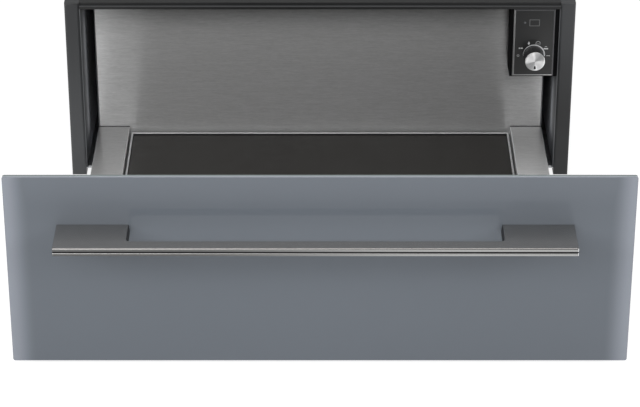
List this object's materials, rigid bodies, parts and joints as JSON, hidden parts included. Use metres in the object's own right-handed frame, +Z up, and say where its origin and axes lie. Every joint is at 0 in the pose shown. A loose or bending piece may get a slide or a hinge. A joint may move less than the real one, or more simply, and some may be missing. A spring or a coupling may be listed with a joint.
{
  "type": "warming drawer",
  "caption": "Built-in warming drawer with a glass front, bar handle, heated glass plate on full-extension slides and a rotary control inside.",
  "frame": {"origin": "centre of the casing's footprint, on the surface that the casing stands on", "axes": "+X to the right as seen by the user, +Y to the back along the drawer's travel, +Z up"},
  "size_m": [0.597, 0.984, 0.208],
  "materials": {
    "zinc_sheet": "galvanised, satin",
    "dark_paint": "satin dark grey paint",
    "black_paint": "satin black paint",
    "slide_steel": "bright zinc plated",
    "black_rubber": "matt",
    "black_plastic": "fine grained",
    "fascia_black": "smooth satin",
    "trim_metal": "satin",
    "lens": "smooth",
    "circuit_board": "solder mask",
    "pale_plastic": "smooth",
    "screw_steel": "zinc plated",
    "painted_glass": "glossy glass, painted on the back",
    "handle_metal": "brushed along its length",
    "brushed_steel": "fine brushed",
    "plate_glass": "glossy dark glass ceramic",
    "frame_steel": "polished edge",
    "heating_foil": "bonded foil",
    "insulation": "mineral fibre board",
    "cutout_metal": "plain",
    "spun_metal": "spun in circles",
    "pointer_black": "smooth"
  },
  "bodies": {
    "casing": {"base_pan": "zinc_sheet", "base_ribs": "zinc_sheet", "left_side_panel": "zinc_sheet", "right_side_panel": "zinc_sheet", "rear_panel": "zinc_sheet", "top_cover": "zinc_sheet", "left_post": "dark_paint", "right_post": "dark_paint", "top_rail": "black_paint", "left_liner": "dark_paint", "right_liner": "dark_paint", "rear_baffle": "zinc_sheet", "slide_brackets": "zinc_sheet", "left_outer_rail": "slide_steel", "right_outer_rail": "slide_steel", "stop_buffers": "black_rubber", "control_housing": "black_plastic", "control_fascia": "fascia_black", "fascia_trim": "trim_metal", "indicator_lens": "lens", "control_board": "circuit_board", "rotary_switch": "black_plastic", "terminal_box": "pale_plastic", "cable_gland": "black_plastic", "power_module": "circuit_board", "casing_screws": "screw_steel"},
    "drawer": {"front_glass": "painted_glass", "front_carrier": "dark_paint", "carrier_cover": "dark_paint", "handle": "handle_metal", "handle_studs": "screw_steel", "front_bumpers": "black_rubber", "drawer_pan": "zinc_sheet", "left_side_channel": "brushed_steel", "right_side_channel": "brushed_steel", "rear_wall": "brushed_steel", "heated_glass_plate": "plate_glass", "glass_trim_frame": "frame_steel", "heating_foil": "heating_foil", "insulation_board": "insulation", "plate_support_rails": "zinc_sheet", "thermal_cutout": "cutout_metal", "heater_terminal_block": "pale_plastic", "front_brackets": "zinc_sheet", "drawer_screws": "screw_steel", "left_inner_rail": "slide_steel", "right_inner_rail": "slide_steel"},
    "middle_rails": {"left_middle_rail": "slide_steel", "right_middle_rail": "slide_steel"},
    "outer_cages": {"outer_ball_cages": "slide_steel"},
    "inner_cages": {"inner_ball_cages": "slide_steel"},
    "knob": {"knob": "black_plastic", "knob_cap": "spun_metal", "knob_shaft": "screw_steel", "knob_pointer": "pointer_black"}
  },
  "joints": [
    {"name": "drawer_slide", "type": "slide", "parent": "casing", "child": "drawer", "axis": [0, -1, 0], "range_m": [-0.378, 0]},
    {"name": "middle_rail_slide", "type": "slide", "parent": "casing", "child": "middle_rails", "axis": [0, -1, 0], "range_m": [-0.1891, 0]},
    {"name": "outer_cage_slide", "type": "slide", "parent": "casing", "child": "outer_cages", "axis": [0, -1, 0], "range_m": [-0.0946, 0]},
    {"name": "inner_cage_slide", "type": "slide", "parent": "casing", "child": "inner_cages", "axis": [0, -1, 0], "range_m": [-0.2836, 0]},
    {"name": "knob_turn", "type": "hinge", "parent": "casing", "child": "knob", "pos_m": [0.2327, -0.2599, 0.1467], "axis": [0, 1, 0], "range_deg": [0, 280]}
  ],
  "couplings": [
    {"joint": "middle_rail_slide", "follows": "drawer_slide", "ratio": 0.5},
    {"joint": "outer_cage_slide", "follows": "drawer_slide", "ratio": 0.25},
    {"joint": "inner_cage_slide", "follows": "drawer_slide", "ratio": 0.75}
  ]
}
